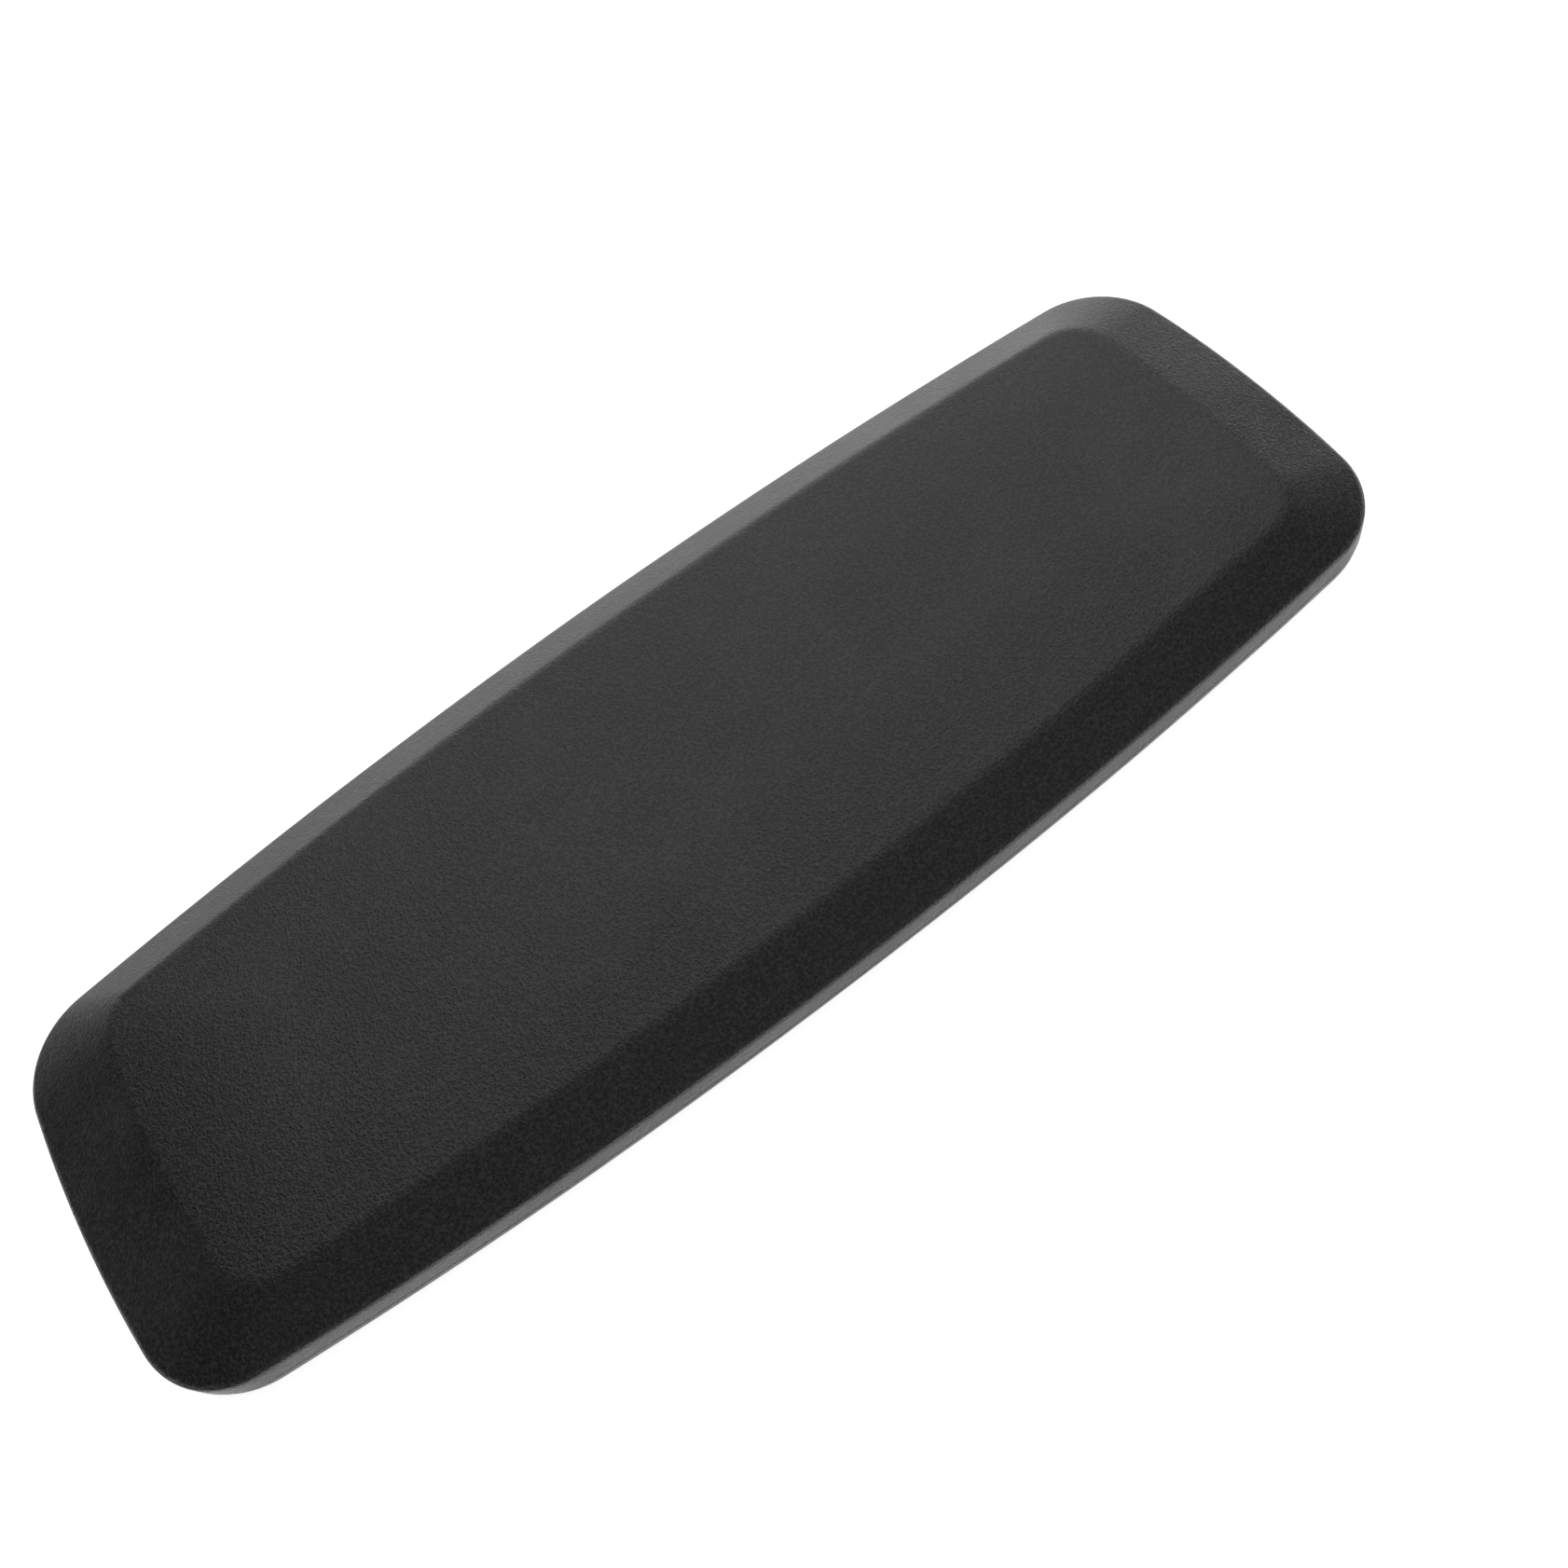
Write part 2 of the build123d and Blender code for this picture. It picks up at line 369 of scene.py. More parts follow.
def half_outline(side, front, rear, corner):
    """The +Y half of the outline, from the front's middle to the rear's, moved inward."""
    side_centre = Vector((0, HALF_WIDTH - SIDE_RADIUS))
    front_centre = Vector((HALF_LENGTH - END_RADIUS, 0))
    rear_centre = Vector((END_RADIUS - HALF_LENGTH, 0))
    side_radius = SIDE_RADIUS - side
    front_radius = END_RADIUS - front
    rear_radius = END_RADIUS - rear
    front_corner = crossing(side_centre, side_radius - corner, front_centre, front_radius - corner)
    rear_corner = crossing(side_centre, side_radius - corner, rear_centre, rear_radius - corner)
    front_turn = bearing(front_centre, front_corner)
    front_side_turn = bearing(side_centre, front_corner)
    rear_side_turn = bearing(side_centre, rear_corner)
    rear_turn = bearing(rear_centre, rear_corner)
    pieces = [
        arc(front_centre, front_radius, 0, front_turn, END_STEPS),
        arc(front_corner, corner, front_turn, front_side_turn, CORNER_STEPS),
        arc(side_centre, side_radius, front_side_turn, rear_side_turn, SIDE_STEPS),
        arc(rear_corner, corner, rear_side_turn, rear_turn, CORNER_STEPS),
        arc(rear_centre, rear_radius, rear_turn, math.pi, END_STEPS),
        [(rear_centre.x - rear_radius, 0)],
    ]
    return np.vstack(pieces)


def half_slot(half_length, half_width):
    """The +Y half of a slot with round ends, divided as half_outline is."""
    middle = half_length - half_width
    quarter = math.pi / 4
    straight = np.linspace(middle, -middle, SIDE_STEPS, endpoint=False)
    pieces = [
        arc((middle, 0), half_width, 0, quarter, END_STEPS),
        arc((middle, 0), half_width, quarter, 2 * quarter, CORNER_STEPS),
        np.column_stack((straight, np.full(SIDE_STEPS, half_width))),
        arc((-middle, 0), half_width, 2 * quarter, 3 * quarter, CORNER_STEPS),
        arc((-middle, 0), half_width, 3 * quarter, 4 * quarter, END_STEPS),
        [(-half_length, 0)],
    ]
    return np.vstack(pieces)


def ring(half, height):
    """Closed ring from its +Y half, at one height."""
    flat = np.vstack((half, half[-2:0:-1] * (1, -1)))
    return np.column_stack((flat, np.full(len(flat), height)))


def wall_ring(inset, height):
    """The pad's outline moved inward by inset."""
    return ring(half_outline(inset, inset, inset, CORNER_RADIUS - inset), height)


def slot_ring(inset, height):
    """The recess's outline moved inward by inset."""
    return ring(half_slot(RECESS_HALF_LENGTH - inset, RECESS_HALF_WIDTH - inset), height)


def straight_rows(start, end):
    """Rows from start to end, without start."""
    longest = np.linalg.norm(end - start, axis=1).max()
    count = max(1, math.ceil(longest / ROW_STEP))
    return [start + (end - start) * step / count for step in range(1, count + 1)]


def rounded_rows(corners, softness):
    """Rows through the corner rings; each inner corner is rounded by its own softness."""
    rows = [corners[0]]
    here = corners[0]
    for before, corner, after, soft in zip(corners, corners[1:], corners[2:], softness):
        back = before - corner
        ahead = after - corner
        back_length = np.linalg.norm(back, axis=1, keepdims=True)
        ahead_length = np.linalg.norm(ahead, axis=1, keepdims=True)
        enter = corner + back * np.minimum(soft / back_length, ROUND_LIMIT)
        leave = corner + ahead * np.minimum(soft / ahead_length, ROUND_LIMIT)
        rows += straight_rows(here, enter)
        for t in np.linspace(0, 1, ROUND_STEPS + 1)[1:]:
            rows.append(enter * (1 - t) ** 2 + corner * 2 * t * (1 - t) + leave * t**2)
        here = leave
    return rows + straight_rows(here, corners[-1])


def band_faces(rows, count, closed=False):
    """Quads between rings that follow each other; closed also joins last to first."""
    faces = []
    for row in range(rows if closed else rows - 1):
        low, high = row * count, (row + 1) % rows * count
        for k in range(count):
            following = (k + 1) % count
            faces.append((low + k, high + k, high + following, low + following))
    return faces


def cap_faces(count):
    """Faces across the first ring, from its +Y half to its -Y half."""
    half = count // 2
    faces = [(0, 1, count - 1), (half - 1, half, half + 1)]
    for k in range(1, half - 1):
        faces.append((k, k + 1, count - k - 1, count - k))
    return faces


def mesh_object(name, vertices, faces):
    """New object in the scene, shaded smooth."""
    mesh = bpy.data.meshes.new(name)
    mesh.from_pydata([tuple(v) for v in vertices], [], faces)
    mesh.validate()
    for polygon in mesh.polygons:
        polygon.use_smooth = True
    made = bpy.data.objects.new(name, mesh)
    bpy.context.scene.collection.objects.link(made)
    return made


# ---------------------------------------------------------------- pad


def crown_rows():
    """Rings of the top, from the spine outward to just inside the crease."""
    spine = ring(half_slot(SPINE_HALF_LENGTH, SPINE_HALF_WIDTH), 0)
    crease = ring(half_outline(SIDE_BEVEL, FRONT_BEVEL, REAR_BEVEL, CREASE_CORNER), 0)
    reach = np.linalg.norm(crease - spine, axis=1).max()
    steps = math.ceil(reach / ROW_STEP)
    rise = CROWN_HEIGHT - CREASE_HEIGHT
    rows = []
    for step in range(steps + 1):
        t = step / steps
        row = spine + (crease - spine) * t
        left = max(0, 1 - (1 - t) * reach / CROWN_REACH)
        row[:, 2] = CREASE_HEIGHT + rise * (1 - left**CROWN_POWER)
        rows.append(row)
    return rows


def pad_rows():
    """All rings of the skin, from the spine of the top to the foot of the recess."""
    crown = crown_rows()
    kept = math.ceil(CREASE_SOFT / ROW_STEP) + 1
    corners = [
        (crown[-kept], 0),
        (crown[-1], CREASE_SOFT),
        (wall_ring(0, WALL_TOP), WALL_SOFT),
        (wall_ring(0, PARTING_HEIGHT + GROOVE_TOP), GROOVE_SOFT),
        (wall_ring(GROOVE_DEPTH, PARTING_HEIGHT + GROOVE_MIDDLE), GROOVE_SOFT),
        (wall_ring(LOWER_EDGE_INSET, PARTING_HEIGHT + GROOVE_FOOT), LOWER_EDGE_SOFT),
        (wall_ring(LOWER_WALL_INSET, UNDERSIDE_ROUND), GROOVE_SOFT),
        (wall_ring(UNDERSIDE_INSET, 0), UNDERSIDE_ROUND),
        (slot_ring(0, 0), MOUTH_ROUND),
        (slot_ring(0, RECESS_DEPTH - LEDGE_START), LEDGE_START_SOFT),
        (slot_ring(LEDGE_WIDTH, RECESS_DEPTH - LEDGE_THICKNESS), LEDGE_SOFT),
        (slot_ring(LEDGE_FOOT_WIDTH, RECESS_DEPTH), 0),
    ]
    rings = [corner for corner, soft in corners]
    softness = [soft for corner, soft in corners[1:-1]]
    return crown[:-kept] + rounded_rows(rings, softness)


def roughen(rows):
    """Gives the moulded faces a slight wave, and the parting line its ragged edge."""
    noise.seed_set(WAVE_SEED)
    outward = (wall_ring(0, 0) - wall_ring(MM, 0)) / MM
    for row in rows:
        height = row[:, 2].mean()
        within = np.abs(row[:, 1]).max() < RECESS_HALF_WIDTH + RECESS_MARGIN_ASIDE
        if within and height < RECESS_DEPTH + RECESS_MARGIN_ABOVE:
            # the wave dies away to nothing where the recess wall meets the plate
            wave = WAVE_DEPTH * (1 - height / RECESS_DEPTH)
            flash = 0
        else:
            wave = WAVE_DEPTH
            flash = FLASH_DEPTH * math.exp(-(((height - PARTING_HEIGHT) / FLASH_REACH) ** 2))
        for k, point in enumerate(row):
            place = Vector(point)
            ragged = noise.noise(place / FLASH_SIZE)
            ragged += FLASH_FINE_SHARE * noise.noise(place / FLASH_FINE_SIZE)
            row[k] += outward[k] * flash * ragged
            row[k] += np.array(noise.noise_vector(place / WAVE_SIZE)) * wave


def edge_weights(rows):
    """How sharply the surface turns at each point: 0 where flat, 1 at an edge."""
    stack = np.array(rows)
    step = np.diff(stack, axis=0)
    length = np.linalg.norm(step, axis=2)
    cosine = (step[1:] * step[:-1]).sum(axis=2) / (length[1:] * length[:-1])
    turn = np.arccos(np.clip(cosine, -1, 1))
    bend = np.zeros(stack.shape[:2])
    half_way = (length[1:] + length[:-1]) / 2
    bend[1:-1] = np.clip(turn / half_way * EDGE_ROUND, 0, 1)
    return bend.ravel()


def make_pad():
    """The moulded skin, a shell that is open only where it meets the plate."""
    rows = pad_rows()
    roughen(rows)
    count = len(rows[0])
    pad = mesh_object("pad", np.vstack(rows), cap_faces(count) + band_faces(len(rows), count))
    edge = pad.data.attributes.new("edge", "FLOAT", "POINT")
    edge.data.foreach_set("value", edge_weights(rows))
    shell = pad.modifiers.new("shell", "SOLIDIFY")
    shell.thickness = SKIN_THICKNESS
    shell.offset = -1
    return pad


# ---- Small marks that the mould leaves on the skin, in millimetres ----
PIP_PROFILE = [  # radius and height
    (0.30, 0.01),
    (0.42, 0.03),
    (0.52, 0.10),
    (0.66, 0.13),
    (0.78, 0.09),
    (0.86, -0.10),
]
NUB_PROFILE = [(0.12, 0.42), (0.30, 0.36), (0.42, 0.20), (0.50, -0.20)]
PIP_PLACES = [  # along and across the underside
    (-119.5, -22),
    (-119.5, 3),
    (-119, 25),
    (120, -23),
    (120, 4),
    (-72, 0.5),
    (96, 1),
]
NUB_PLACES = [-101.5, -96.0, -38.0, 64.0]  # along the +Y side's parting line
NUB_SINK = 0.12
MARK_COLUMNS = 18
MARK_SHARP = 50.0  # degrees; a turn sharper than this is shaded as an edge


def lathe(profile, turn_to):
    """Points and faces of a small closed form turned about its own axis."""
    turn = np.linspace(0, math.tau, MARK_COLUMNS, endpoint=False)
    flat = np.column_stack((np.cos(turn), np.sin(turn)))
    rings = []
    for radius, height in profile:
        rings.append(np.column_stack((flat * radius, np.full(MARK_COLUMNS, height))))
    points = [turn_to @ Vector(point * MM) for point in np.vstack(rings)]
    last = (len(profile) - 1) * MARK_COLUMNS
    faces = band_faces(len(profile), MARK_COLUMNS)
    faces += [tuple(range(MARK_COLUMNS)), tuple(reversed(range(last, last + MARK_COLUMNS)))]
    return points, faces


def make_mould_marks():
    """Ring pips where air left the mould, and nubs where foam crept along its joint."""
    points, faces = [], []
    down = Matrix.Rotation(math.pi, 4, "X")
    turns = [Matrix.Translation((x * MM, y * MM, 0)) @ down for x, y in PIP_PLACES]
    kinds = [PIP_PROFILE] * len(turns)
    for x in NUB_PLACES:
        y = HALF_WIDTH - SIDE_RADIUS + math.sqrt(SIDE_RADIUS**2 - (x * MM) ** 2)
        place = Matrix.Translation((x * MM, y - NUB_SINK * MM, PARTING_HEIGHT))
        turns.append(place @ Matrix.Rotation(-math.pi / 2, 4, "X"))
        kinds.append(NUB_PROFILE)
    for profile, turn_to in zip(kinds, turns):
        more, more_faces = lathe(profile, turn_to)
        faces += [tuple(k + len(points) for k in face) for face in more_faces]
        points += more
    marks = mesh_object("mould_marks", points, faces)
    marks.data.set_sharp_from_angle(angle=math.radians(MARK_SHARP))
    return marks


# ---------------------------------------------------------------- inserts

INSERT_RADIUS = 4.0 * MM
INSERT_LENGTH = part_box("rear_insert")[1].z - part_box("rear_insert")[0].z
BAND_HEIGHT = 1.9 * MM
WAIST_DEPTH = 0.5 * MM
KNURL_COUNT = 24
KNURL_DEPTH = 0.3 * MM
KNURL_SHARE = 0.4  # the part of each knurl that is groove
CHAMFER = 0.12 * MM
SINK_RADIUS = 3.6 * MM
SINK_DEPTH = 0.9 * MM
SINK_FOOT = 0.92 * SINK_DEPTH  # where the thread runs out into the countersink
SINK_LIP = 0.06 * MM
SINK_LIP_WIDTH = 0.05 * MM
THREAD_PITCH = 1.0 * MM
THREAD_CREST = 2.5 * MM  # the bore between the threads' crests
THREAD_ROOT = 3.0 * MM
THREAD_FLAT = 0.1  # the part of a half turn that is flat, at the crest and at the root
THREAD_STEP = 0.07 * MM
INSERT_COLUMNS = 144
INSERT_SHARP = 35.0  # degrees


def thread_radius(height, turn):
    """Radius of a right-hand M6 thread at one height, at each angle."""
    phase = (height / THREAD_PITCH + turn / math.tau) % 1
    flank = (np.abs(2 * phase - 1) - THREAD_FLAT) / (1 - 2 * THREAD_FLAT)
    wave = np.clip(flank, 0, 1)
    return THREAD_CREST + (THREAD_ROOT - THREAD_CREST) * wave


def mouth_place(name):
    """Middle of a CAD insert's open end."""
    low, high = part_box(name)
    return ((low.x + high.x) / 2, (low.y + high.y) / 2, low.z)


def make_insert(name):
    """Threaded insert: plain band, waist, knurled band, cut thread and countersink."""
    turn = np.linspace(0, math.tau, INSERT_COLUMNS, endpoint=False)
    groove = np.where(turn * KNURL_COUNT / math.tau % 1 < KNURL_SHARE, KNURL_DEPTH, 0)
    knurled = INSERT_RADIUS - groove
    upper = INSERT_LENGTH - BAND_HEIGHT
    waist = INSERT_RADIUS - WAIST_DEPTH
    outside = [
        (INSERT_RADIUS - CHAMFER, 0),
        (INSERT_RADIUS, CHAMFER),
        (INSERT_RADIUS, BAND_HEIGHT - CHAMFER),
        (INSERT_RADIUS - CHAMFER, BAND_HEIGHT),
        (waist, BAND_HEIGHT),
        (waist, upper),
        (knurled - CHAMFER, upper),
        (knurled, upper + CHAMFER),
        (knurled, INSERT_LENGTH - CHAMFER),
        (knurled - CHAMFER, INSERT_LENGTH),
        (THREAD_ROOT + CHAMFER, INSERT_LENGTH),
    ]
    steps = math.ceil((INSERT_LENGTH - CHAMFER - SINK_DEPTH) / THREAD_STEP)
    heights = np.linspace(INSERT_LENGTH - CHAMFER, SINK_DEPTH, steps)
    bore = [(thread_radius(height, turn), height) for height in heights]
    sink = [
        (THREAD_ROOT, SINK_FOOT),
        (SINK_RADIUS, SINK_LIP),
        (SINK_RADIUS + SINK_LIP_WIDTH, 0),
    ]
    rows = []
    for radius, height in outside + bore + sink:
        flat = (radius * np.cos(turn), radius * np.sin(turn), np.full(INSERT_COLUMNS, height))
        rows.append(np.column_stack(flat))
    faces = [face[::-1] for face in band_faces(len(rows), INSERT_COLUMNS, closed=True)]
    insert = mesh_object(name + "_threaded", np.vstack(rows), faces)
    insert.data.set_sharp_from_angle(angle=math.radians(INSERT_SHARP))
    insert.location = mouth_place(name)
    return insert


# ---- Collar round each insert, in millimetres ----
COLLAR_PROFILE = [  # radius, and height out of the recess floor
    (4.02, -0.30),
    (4.02, 0.05),
    (4.12, 0.10),
    (4.55, 0.10),
    (4.80, 0.06),
    (4.95, -0.02),
    (4.95, -0.30),
]
COLLAR_UNEVEN_FROM = 4.5  # the outer edge, past this radius, isn't quite round
COLLAR_UNEVEN = 0.015
COLLAR_LUMPS = 2.2
COLLAR_COLUMNS = 72


def make_collar(name):
    """Low ring of plastic that was squeezed up round the insert."""
    turn = np.linspace(0, math.tau, COLLAR_COLUMNS, endpoint=False)
    flat = np.column_stack((np.cos(turn), np.sin(turn)))
    lumps = [noise.noise(Vector((x, y, 0)) * COLLAR_LUMPS) for x, y in flat]
    uneven = 1 + COLLAR_UNEVEN * np.array(lumps)[:, None]
    rows = []
    for radius, height in COLLAR_PROFILE:
        edge = flat * radius * MM
        if radius > COLLAR_UNEVEN_FROM:
            edge = edge * uneven
        rows.append(np.column_stack((edge, np.full(COLLAR_COLUMNS, -height * MM))))
    faces = [face[::-1] for face in band_faces(len(rows), COLLAR_COLUMNS, closed=True)]
    collar = mesh_object(name + "_collar", np.vstack(rows), faces)
    collar.location = mouth_place(name)
    return collar


# ---------------------------------------------------------------- materials


def paint(piece, material):
    """Gives the piece this one material."""
    piece.data.materials.clear()
    piece.data.materials.append(material)


def new_material(name, **inputs):
    """Material with a principled shader; its plain values are given by name."""
    material = bpy.data.materials.new(name)
    material.use_nodes = True
    shader = material.node_tree.nodes["Principled BSDF"]
    for key, value in inputs.items():
        shader.inputs[key.replace("_", " ")].default_value = value
    nodes = Nodes(material.node_tree)
    place = nodes.add("ShaderNodeTexCoord")
    return material, nodes, shader, place


# ---- Skin: sizes of its grain, and its colours ----
WORM_SIZE = 0.29 * MM
PEBBLE_SIZE = 0.52 * MM
FINE_SIZE = 0.15 * MM
GLINT_SPECK_SIZE = 0.22 * MM
PATCH_SIZE = 24.0 * MM  # stretches of skin that differ a little
WEAR_SIZE = 9.0 * MM
WORM_SHARE = 0.9
PEBBLE_SHARE = 0.7
FINE_SHARE = 0.22
GRAIN_DEPTH = 0.13 * MM
WALL_GRAIN = 2.2  # times as deep on the walls
WALL_RANGE = (0.75, 0.35)  # cosine of the slope, from where a wall starts to full wall
SKIN_ROUGHNESS = 0.24
PATCH_ROUGHNESS = 0.10
FINE_ROUGHNESS = 0.06
WORN_ROUGHNESS = -0.07
GRAIN_RANGE = (0.54, 1.02)  # the grain's height, from its valleys to its tops
FAINT_RANGE = (0.32, 0.60)  # patch noise, from the faintest grain to the full grain
FAINT_GRAIN = 0.65
WEAR_RANGE = (0.4, 0.7)
PATCH_RANGE = (0.35, 0.65)
GLINT_SPECK_RANGE = (0.50, 0.72)
VALLEY_COLOUR = (0.0004, 0.0004, 0.0005)
GRAIN_COLOUR = (0.0330, 0.0330, 0.0338)
PATCH_COLOUR = (0.0080, 0.0080, 0.0083)
WORN_COLOUR = (0.030, 0.030, 0.031)
# the walls' bright specks are painted glints, not a colour of the skin
GLINT_SPECK_COLOUR = (0.110, 0.110, 0.112)
PATCH_TINT = 0.16
WORN_TINT = 0.35
GLINT_SPECK_TINT = 0.8


def skin_material():
    """Satin black moulded polyurethane with a fine leather grain."""
    material, nodes, shader, place = new_material("moulded_skin")
    link = material.node_tree.links.new
    spot = place.outputs["Object"]
    upright = nodes.add("ShaderNodeSeparateXYZ", {0: place.outputs["Normal"]}).outputs["Z"]
    wall = nodes.span(nodes.math("ABSOLUTE", upright), *WALL_RANGE)
    edge = nodes.add("ShaderNodeAttribute", attribute_name="edge").outputs["Fac"]
    worms = nodes.noise(spot, WORM_SIZE, detail=1.0, distortion=0.3)
    pebble = nodes.cells(spot, PEBBLE_SIZE, feature="SMOOTH_F1")
    fine = nodes.noise(spot, FINE_SIZE, detail=1.0)
    patch = nodes.noise(spot, PATCH_SIZE, detail=3.0, roughness=0.6)
    # the grain is fainter in some places, where the mould's face is worn
    taken = nodes.span(patch, *FAINT_RANGE, to_low=FAINT_GRAIN)
    grain = nodes.math("MULTIPLY", worms, WORM_SHARE)
    grain = nodes.math("MULTIPLY_ADD", pebble, PEBBLE_SHARE, third=grain)
    height = nodes.math("MULTIPLY", grain, taken)
    height = nodes.math("MULTIPLY_ADD", fine, FINE_SHARE, third=height)
    deeper = nodes.span(wall, 0, 1, to_low=1, to_high=WALL_GRAIN)
    height = nodes.math("MULTIPLY", height, deeper)
    link(nodes.bump(height, GRAIN_DEPTH), shader.inputs["Normal"])
    worn = nodes.span(nodes.noise(spot, WEAR_SIZE, detail=3.0), *WEAR_RANGE)
    worn = nodes.math("MULTIPLY", edge, worn)
    rough = nodes.math("MULTIPLY_ADD", patch, PATCH_ROUGHNESS, third=SKIN_ROUGHNESS)
    rough = nodes.math("MULTIPLY_ADD", fine, FINE_ROUGHNESS, third=rough)
    rough = nodes.math("MULTIPLY_ADD", worn, WORN_ROUGHNESS, third=rough)
    link(rough, shader.inputs["Roughness"])
    # dirt and shade stay in the grain's valleys
    colour = nodes.blend(nodes.span(grain, *GRAIN_RANGE), VALLEY_COLOUR, GRAIN_COLOUR)
    tint = nodes.span(patch, *PATCH_RANGE, to_high=PATCH_TINT)
    colour = nodes.blend(tint, colour, PATCH_COLOUR)
    colour = nodes.blend(nodes.math("MULTIPLY", worn, WORN_TINT), colour, WORN_COLOUR)
    # painted glints: bright specks on the upright walls stand for the sparkle of light on them
    glint_speck = nodes.span(nodes.noise(spot, GLINT_SPECK_SIZE, detail=1.0), *GLINT_SPECK_RANGE)
    glint_speck = nodes.math("MULTIPLY", glint_speck, wall)
    colour = nodes.blend(nodes.math("MULTIPLY", glint_speck, GLINT_SPECK_TINT), colour, GLINT_SPECK_COLOUR)
    link(colour, shader.inputs["Base Color"])
    return material


# ---- Plate: sizes of its marks, and its colours ----
CLOUD_SIZE = 11.0 * MM
FLOW_SIZE = 7.0 * MM
SCUFF_SIZE = 0.5 * MM
FLOW_MIDDLE = 0.5  # the flow noise's middle value, along which the lines run
LINE_WIDTH = 0.035  # how far from it a line reaches
LINE_RANGE = (0.48, 0.62)  # cloud noise, from no lines to full lines
CLOUD_RANGE = (0.3, 0.72)
SCUFF_RANGE = (0.2, 0.9)
SCUFF_SHARE = 0.4
PLATE_DEPTH = 0.05 * MM
PLATE_ROUGHNESS = 0.40
CLOUD_ROUGHNESS = 0.22
PLATE_DARK = (0.066, 0.066, 0.068)
PLATE_LIGHT = (0.104, 0.104, 0.105)
LINE_COLOUR = (0.030, 0.030, 0.031)
SCUFF_COLOUR = (0.028, 0.028, 0.028)
LINE_TINT = 0.62
SCUFF_TINT = 0.12


def plate_material():
    """Dark grey moulded plastic with cloudy flow marks and thin stained lines."""
    material, nodes, shader, place = new_material("plate_plastic")
    link = material.node_tree.links.new
    spot = place.outputs["Object"]
    cloud = nodes.noise(spot, CLOUD_SIZE, detail=5.0, roughness=0.62, distortion=0.4)
    flow = nodes.noise(spot, FLOW_SIZE, distortion=1.1)
    line = nodes.math("ABSOLUTE", nodes.math("SUBTRACT", flow, FLOW_MIDDLE))
    line = nodes.span(line, LINE_WIDTH, 0)
    line = nodes.math("MULTIPLY", line, nodes.span(cloud, *LINE_RANGE))
    scuff = nodes.noise(spot, SCUFF_SIZE)
    colour = nodes.blend(nodes.span(cloud, *CLOUD_RANGE), PLATE_DARK, PLATE_LIGHT)
    colour = nodes.blend(nodes.math("MULTIPLY", line, LINE_TINT), colour, LINE_COLOUR)
    tint = nodes.span(scuff, *SCUFF_RANGE, to_high=SCUFF_TINT)
    colour = nodes.blend(tint, colour, SCUFF_COLOUR)
    link(colour, shader.inputs["Base Color"])
    rough = nodes.math("MULTIPLY_ADD", cloud, CLOUD_ROUGHNESS, third=PLATE_ROUGHNESS)
    link(rough, shader.inputs["Roughness"])
    height = nodes.math("MULTIPLY_ADD", scuff, SCUFF_SHARE, third=cloud)
    link(nodes.bump(height, PLATE_DEPTH), shader.inputs["Normal"])
    return material


# ---- Foam ----
CELL_SIZE = 0.5 * MM
CELL_DEPTH = 0.15 * MM
TONE_SIZE = 6.0 * MM
FOAM_ROUGHNESS = 0.95
CELL_RANGE = (0.1, 0.7)  # distance from a cell's middle, over the cell's size
TONE_RANGE = (0.3, 0.7)
# each cell's hollow middle is painted darker, as shade in the pore
PORE_SHADE_COLOUR = (0.030, 0.030, 0.031)
CELL_WALL_COLOUR = (0.085, 0.085, 0.087)
TONE_COLOUR = (0.045, 0.045, 0.046)
TONE_TINT = 0.4


def foam_material():
    """Fine closed-cell foam, seen only where the pad is cut open."""
    material, nodes, shader, place = new_material("foam_cells", Roughness=FOAM_ROUGHNESS)
    link = material.node_tree.links.new
    spot = place.outputs["Object"]
    cell = nodes.cells(spot, CELL_SIZE)
    tone = nodes.noise(spot, TONE_SIZE, detail=3.0)
    # painted shade: the colour darkens towards each cell's hollow middle
    colour = nodes.blend(nodes.span(cell, *CELL_RANGE), PORE_SHADE_COLOUR, CELL_WALL_COLOUR)
    tint = nodes.span(tone, *TONE_RANGE, to_high=TONE_TINT)
    colour = nodes.blend(tint, colour, TONE_COLOUR)
    link(colour, shader.inputs["Base Color"])
    link(nodes.bump(cell, CELL_DEPTH), shader.inputs["Normal"])
    return material


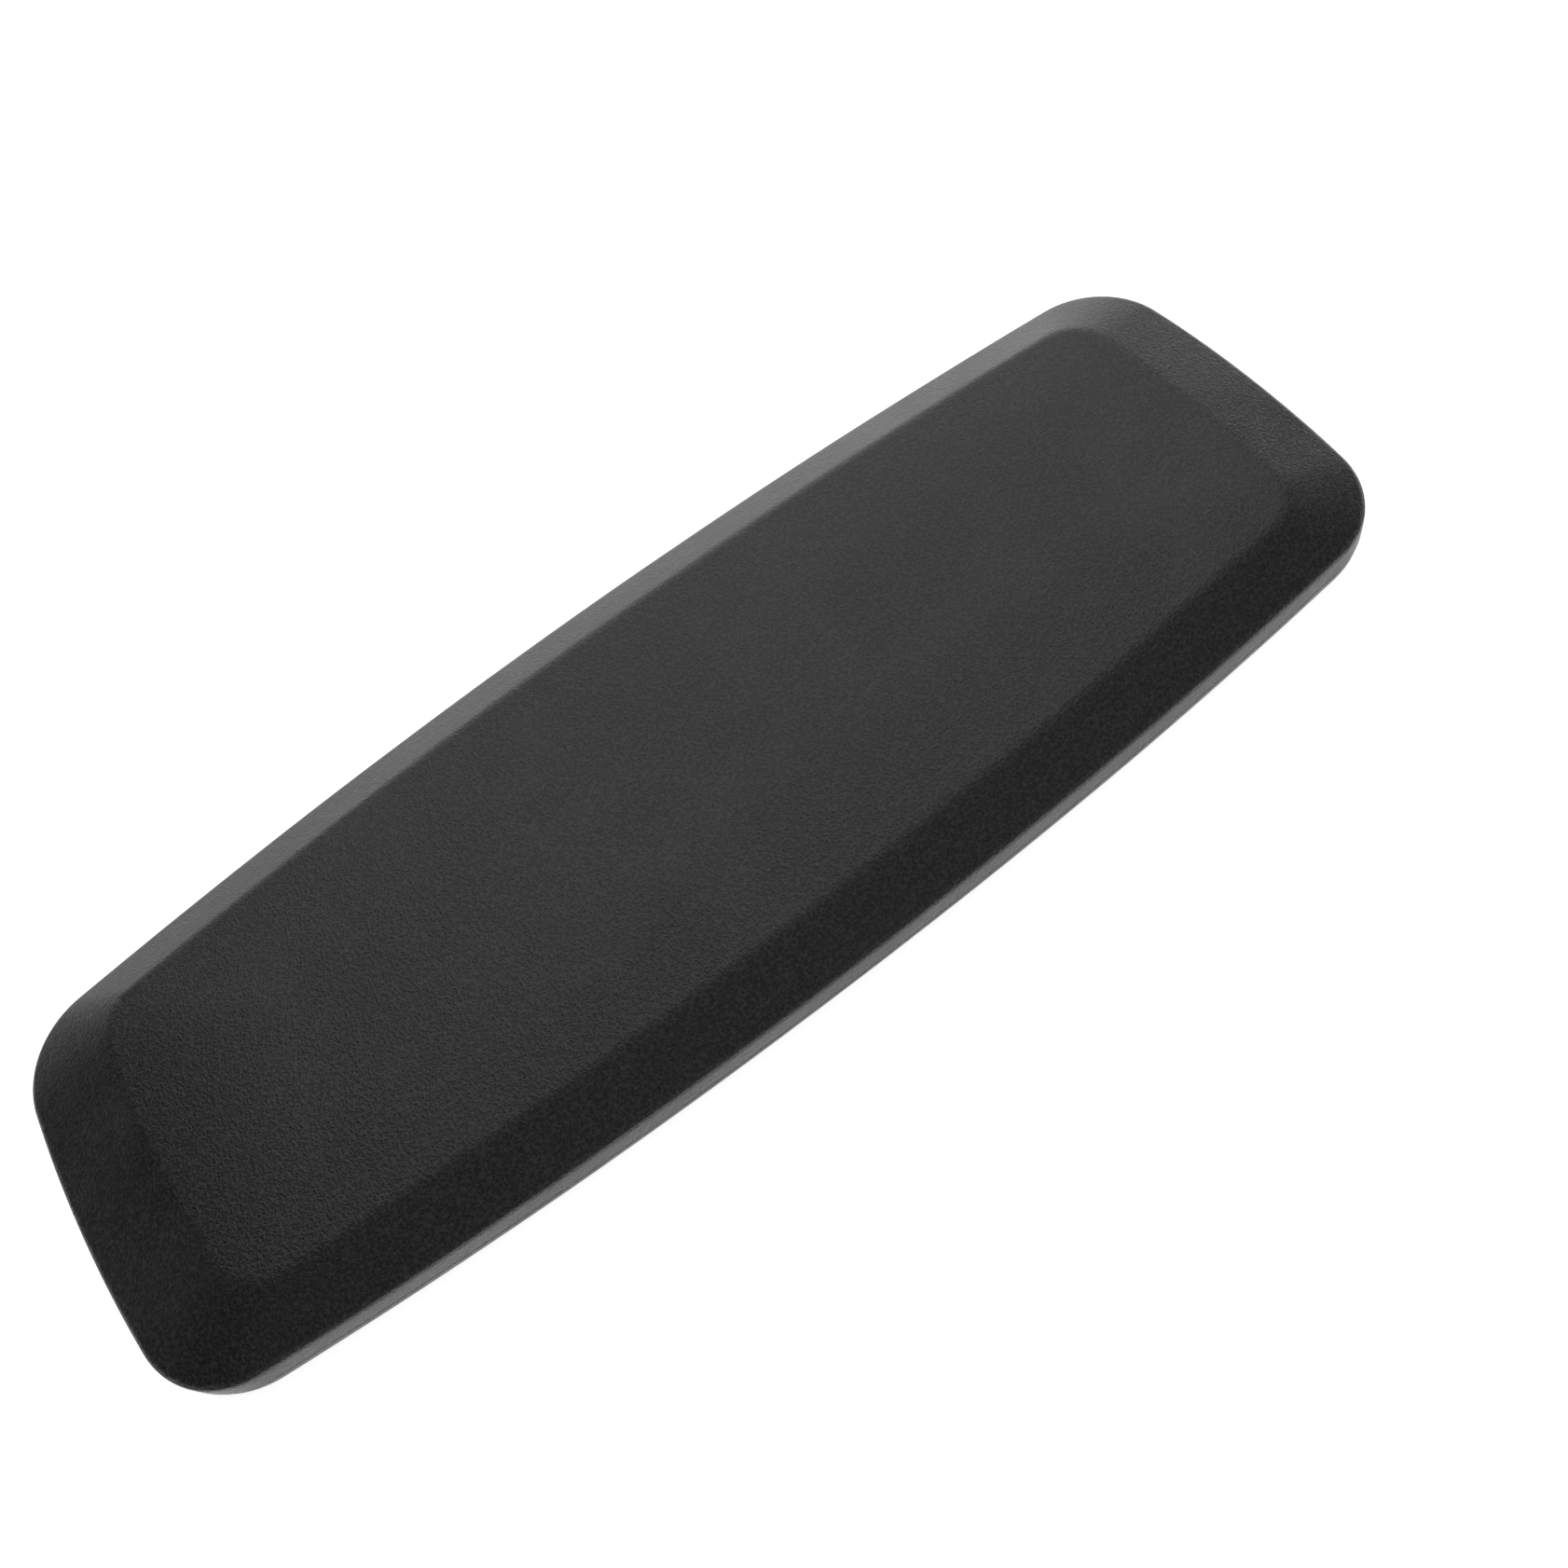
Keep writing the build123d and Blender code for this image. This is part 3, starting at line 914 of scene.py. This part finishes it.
# ---- Insert metal ----
RING_SIZE = 0.09 * MM
RING_DEPTH = 0.012 * MM
STAIN_SIZE = 1.1 * MM
METAL_ROUGHNESS = 0.14
STAIN_ROUGHNESS = 0.25
RING_ROUGHNESS = 0.10
STAIN_RANGE = (0.35, 0.7)
ZINC_COLOUR = (0.78, 0.77, 0.75)
STAIN_COLOUR = (0.52, 0.51, 0.49)


def metal_material():
    """Bright zinc plate over turned steel, with faint rings from the lathe."""
    material, nodes, shader, place = new_material("turned_zinc", Metallic=1.0)
    link = material.node_tree.links.new
    spot = place.outputs["Object"]
    parts = nodes.add("ShaderNodeSeparateXYZ", {0: spot})
    x, y, z = (parts.outputs[axis] for axis in "XYZ")
    squares = nodes.math("MULTIPLY_ADD", y, y, third=nodes.math("MULTIPLY", x, x))
    radius = nodes.math("SQRT", squares)
    track = nodes.add("ShaderNodeCombineXYZ", {"X": radius, "Y": z}).outputs["Vector"]
    rings = nodes.noise(track, RING_SIZE)
    stain = nodes.noise(spot, STAIN_SIZE, detail=4.0, roughness=0.6)
    colour = nodes.blend(nodes.span(stain, *STAIN_RANGE), ZINC_COLOUR, STAIN_COLOUR)
    link(colour, shader.inputs["Base Color"])
    rough = nodes.math("MULTIPLY_ADD", stain, STAIN_ROUGHNESS, third=METAL_ROUGHNESS)
    rough = nodes.math("MULTIPLY_ADD", rings, RING_ROUGHNESS, third=rough)
    link(rough, shader.inputs["Roughness"])
    link(nodes.bump(rings, RING_DEPTH), shader.inputs["Normal"])
    return material


# ---------------------------------------------------------------- the scene

make_camera()
make_world()
make_floor()
bpy.context.scene.view_settings.view_transform = "Standard"

skin = skin_material()
pad = make_pad()
paint(pad, skin)
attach(pad, BODY)
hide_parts("pad_skin")

marks = make_mould_marks()
paint(marks, skin)
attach(marks, BODY)

metal = metal_material()
plastic = plate_material()
paint(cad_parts["base_plate"], plastic)
paint(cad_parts["foam_core"], foam_material())
for name in ("rear_insert", "front_insert"):
    insert = make_insert(name)
    paint(insert, metal)
    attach(insert, BODY)
    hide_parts(name)
    collar = make_collar(name)
    paint(collar, plastic)
    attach(collar, BODY)
